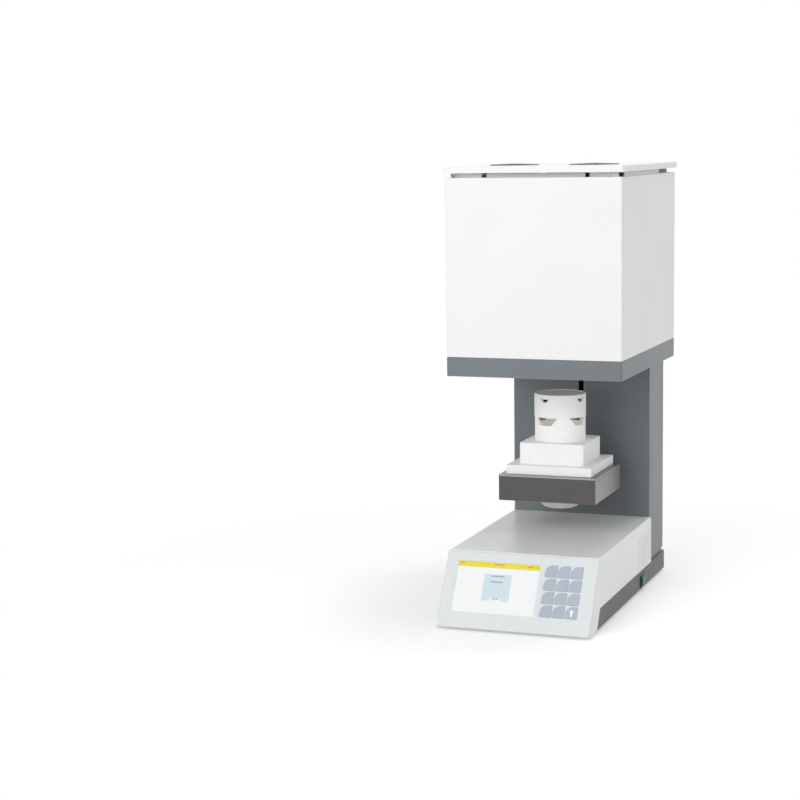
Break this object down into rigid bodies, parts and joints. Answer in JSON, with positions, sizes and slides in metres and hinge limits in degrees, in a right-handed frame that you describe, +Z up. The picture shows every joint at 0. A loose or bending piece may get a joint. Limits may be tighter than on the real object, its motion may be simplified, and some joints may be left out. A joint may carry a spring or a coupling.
{
  "type": "sintering furnace",
  "caption": "Bench-top bottom-loading sintering furnace: a motor-driven table lifts stacked ceramic trays into a heated head above a base with display and keys.",
  "frame": {"origin": "on the bench, midway between the foot of the front panel and the back of the column, in the middle plane", "axes": "+Z up, -Y to the front where the display and keys are, +X to the operator's right as they face the furnace"},
  "size_m": [0.35, 0.6261, 0.8606],
  "materials": {
    "white_powder_coat": "fine satin powder coat",
    "grey_powder_coat": "semi-gloss grey enamel",
    "dark_powder_coat": "fine textured dark grey powder coat",
    "light_grey_coat": "satin light grey enamel",
    "panel_white": "cool white front foil, satin",
    "display_glass": "clear display window",
    "display_body": "black display frame",
    "key_blue_grey": "blue-grey key caps, soft satin",
    "black_plastic": "black moulded plastic",
    "green_plastic": "translucent green rocker",
    "circuit_board": "green board with black parts",
    "core_steel": "stacked core plates with copper coil",
    "zinc_steel": "zinc-plated sheet steel",
    "machined_aluminium": "machined aluminium",
    "ground_steel": "hardened ground steel",
    "bronze": "turned bronze",
    "stainless": "fine brushed stainless steel",
    "fascia_grey": "dark warm grey satin plate",
    "cap_enamel": "pale warm grey cap",
    "fibre_board": "soft white fibre board",
    "tray_ceramic": "fine white fired ceramic",
    "element_ceramic": "dark glazed heating rod",
    "rubber_black": "black rubber"
  },
  "bodies": {
    "root": {"base_tray": "dark_powder_coat", "feet": "rubber_black", "base_cover": "light_grey_coat", "front_panel": "panel_white", "display_glass": "display_glass", "display_module": "display_body", "key_carrier": "black_plastic", "control_board": "circuit_board", "transformer": "core_steel", "power_supply": "zinc_steel", "switch_bezel": "black_plastic", "mains_inlet": "black_plastic", "column_sides": "grey_powder_coat", "column_front": "grey_powder_coat", "column_rear_cover": "grey_powder_coat", "lower_bearing_plate": "machined_aluminium", "upper_bearing_plate": "machined_aluminium", "guide_rods": "ground_steel", "lift_motor": "black_plastic", "head_shelf": "grey_powder_coat", "head_casing": "white_powder_coat", "vent_neck": "light_grey_coat", "lid_spacers": "white_powder_coat", "lid_plate": "white_powder_coat", "vent_grilles": "dark_powder_coat", "muffle_floor": "fibre_board", "muffle_walls": "fibre_board", "muffle_roof": "fibre_board", "heating_elements": "element_ceramic", "element_holders": "tray_ceramic", "terminal_straps": "machined_aluminium", "thermocouple": "tray_ceramic", "fan_frame": "black_plastic"},
    "lift": {"lift_carriage": "machined_aluminium", "lift_nut": "bronze", "lift_arm": "grey_powder_coat", "table_pan": "stainless", "table_fascia": "fascia_grey", "table_hub": "cap_enamel", "plinth_plate": "fibre_board", "door_block": "fibre_board"},
    "screw": {"lead_screw": "ground_steel", "screw_coupling": "machined_aluminium"},
    "lower_tray_body": {"lower_tray": "tray_ceramic"},
    "upper_tray_body": {"upper_tray": "tray_ceramic"},
    "tray_lid_body": {"tray_lid": "tray_ceramic"},
    "rocker": {"switch_rocker": "green_plastic"},
    "fan": {"fan_rotor": "black_plastic"},
    "key_row1_column1_body": {"key_row1_column1": "key_blue_grey"},
    "key_row1_column2_body": {"key_row1_column2": "key_blue_grey"},
    "key_row1_column3_body": {"key_row1_column3": "key_blue_grey"},
    "key_row2_column1_body": {"key_row2_column1": "key_blue_grey"},
    "key_row2_column2_body": {"key_row2_column2": "key_blue_grey"},
    "key_row2_column3_body": {"key_row2_column3": "key_blue_grey"},
    "key_row3_column1_body": {"key_row3_column1": "key_blue_grey"},
    "key_row3_column2_body": {"key_row3_column2": "key_blue_grey"},
    "key_row3_column3_body": {"key_row3_column3": "key_blue_grey"},
    "key_row4_column1_body": {"key_row4_column1": "key_blue_grey"},
    "key_row4_column2_body": {"key_row4_column2": "key_blue_grey"},
    "key_row4_column3_body": {"key_row4_column3": "key_blue_grey"}
  },
  "joints": [
    {"name": "lift_slide", "type": "slide", "parent": "root", "child": "lift", "axis": [0, 0, 1], "range_m": [0, 0.2025]},
    {"name": "lead_screw_spin", "type": "hinge", "parent": "root", "child": "screw", "pos_m": [0, 0.2735, 0.3], "axis": [0, 0, 1], "range_deg": [-7300, 0]},
    {"name": "lower_tray_lift", "type": "slide", "parent": "lift", "child": "lower_tray_body", "axis": [0, 0, 1], "range_m": [0, 0.02]},
    {"name": "upper_tray_lift", "type": "slide", "parent": "lower_tray_body", "child": "upper_tray_body", "axis": [0, 0, 1], "range_m": [0, 0.025]},
    {"name": "tray_lid_lift", "type": "slide", "parent": "upper_tray_body", "child": "tray_lid_body", "axis": [0, 0, 1], "range_m": [0, 0.03]},
    {"name": "power_rocker", "type": "hinge", "parent": "root", "child": "rocker", "pos_m": [0.1485, 0.102, 0.021], "axis": [0, 0, -1], "range_deg": [0, 12]},
    {"name": "fan_spin", "type": "hinge", "parent": "root", "child": "fan", "pos_m": [0.08, 0.299, 0.3855], "axis": [0, 1, 0], "continuous": true},
    {"name": "key_row1_column1_press", "type": "slide", "parent": "root", "child": "key_row1_column1_body", "axis": [0, 0.8554, -0.518], "range_m": [0, 0.0005], "stiffness_N_per_m": 600, "springref_m": -0.0015},
    {"name": "key_row1_column2_press", "type": "slide", "parent": "root", "child": "key_row1_column2_body", "axis": [0, 0.8554, -0.518], "range_m": [0, 0.0005], "stiffness_N_per_m": 600, "springref_m": -0.0015},
    {"name": "key_row1_column3_press", "type": "slide", "parent": "root", "child": "key_row1_column3_body", "axis": [0, 0.8554, -0.518], "range_m": [0, 0.0005], "stiffness_N_per_m": 600, "springref_m": -0.0015},
    {"name": "key_row2_column1_press", "type": "slide", "parent": "root", "child": "key_row2_column1_body", "axis": [0, 0.8554, -0.518], "range_m": [0, 0.0005], "stiffness_N_per_m": 600, "springref_m": -0.0015},
    {"name": "key_row2_column2_press", "type": "slide", "parent": "root", "child": "key_row2_column2_body", "axis": [0, 0.8554, -0.518], "range_m": [0, 0.0005], "stiffness_N_per_m": 600, "springref_m": -0.0015},
    {"name": "key_row2_column3_press", "type": "slide", "parent": "root", "child": "key_row2_column3_body", "axis": [0, 0.8554, -0.518], "range_m": [0, 0.0005], "stiffness_N_per_m": 600, "springref_m": -0.0015},
    {"name": "key_row3_column1_press", "type": "slide", "parent": "root", "child": "key_row3_column1_body", "axis": [0, 0.8554, -0.518], "range_m": [0, 0.0005], "stiffness_N_per_m": 600, "springref_m": -0.0015},
    {"name": "key_row3_column2_press", "type": "slide", "parent": "root", "child": "key_row3_column2_body", "axis": [0, 0.8554, -0.518], "range_m": [0, 0.0005], "stiffness_N_per_m": 600, "springref_m": -0.0015},
    {"name": "key_row3_column3_press", "type": "slide", "parent": "root", "child": "key_row3_column3_body", "axis": [0, 0.8554, -0.518], "range_m": [0, 0.0005], "stiffness_N_per_m": 600, "springref_m": -0.0015},
    {"name": "key_row4_column1_press", "type": "slide", "parent": "root", "child": "key_row4_column1_body", "axis": [0, 0.8554, -0.518], "range_m": [0, 0.0005], "stiffness_N_per_m": 600, "springref_m": -0.0015},
    {"name": "key_row4_column2_press", "type": "slide", "parent": "root", "child": "key_row4_column2_body", "axis": [0, 0.8554, -0.518], "range_m": [0, 0.0005], "stiffness_N_per_m": 600, "springref_m": -0.0015},
    {"name": "key_row4_column3_press", "type": "slide", "parent": "root", "child": "key_row4_column3_body", "axis": [0, 0.8554, -0.518], "range_m": [0, 0.0005], "stiffness_N_per_m": 600, "springref_m": -0.0015}
  ],
  "couplings": [
    {"joint": "lead_screw_spin", "follows": "lift_slide", "rad_per_m": -628.32}
  ]
}
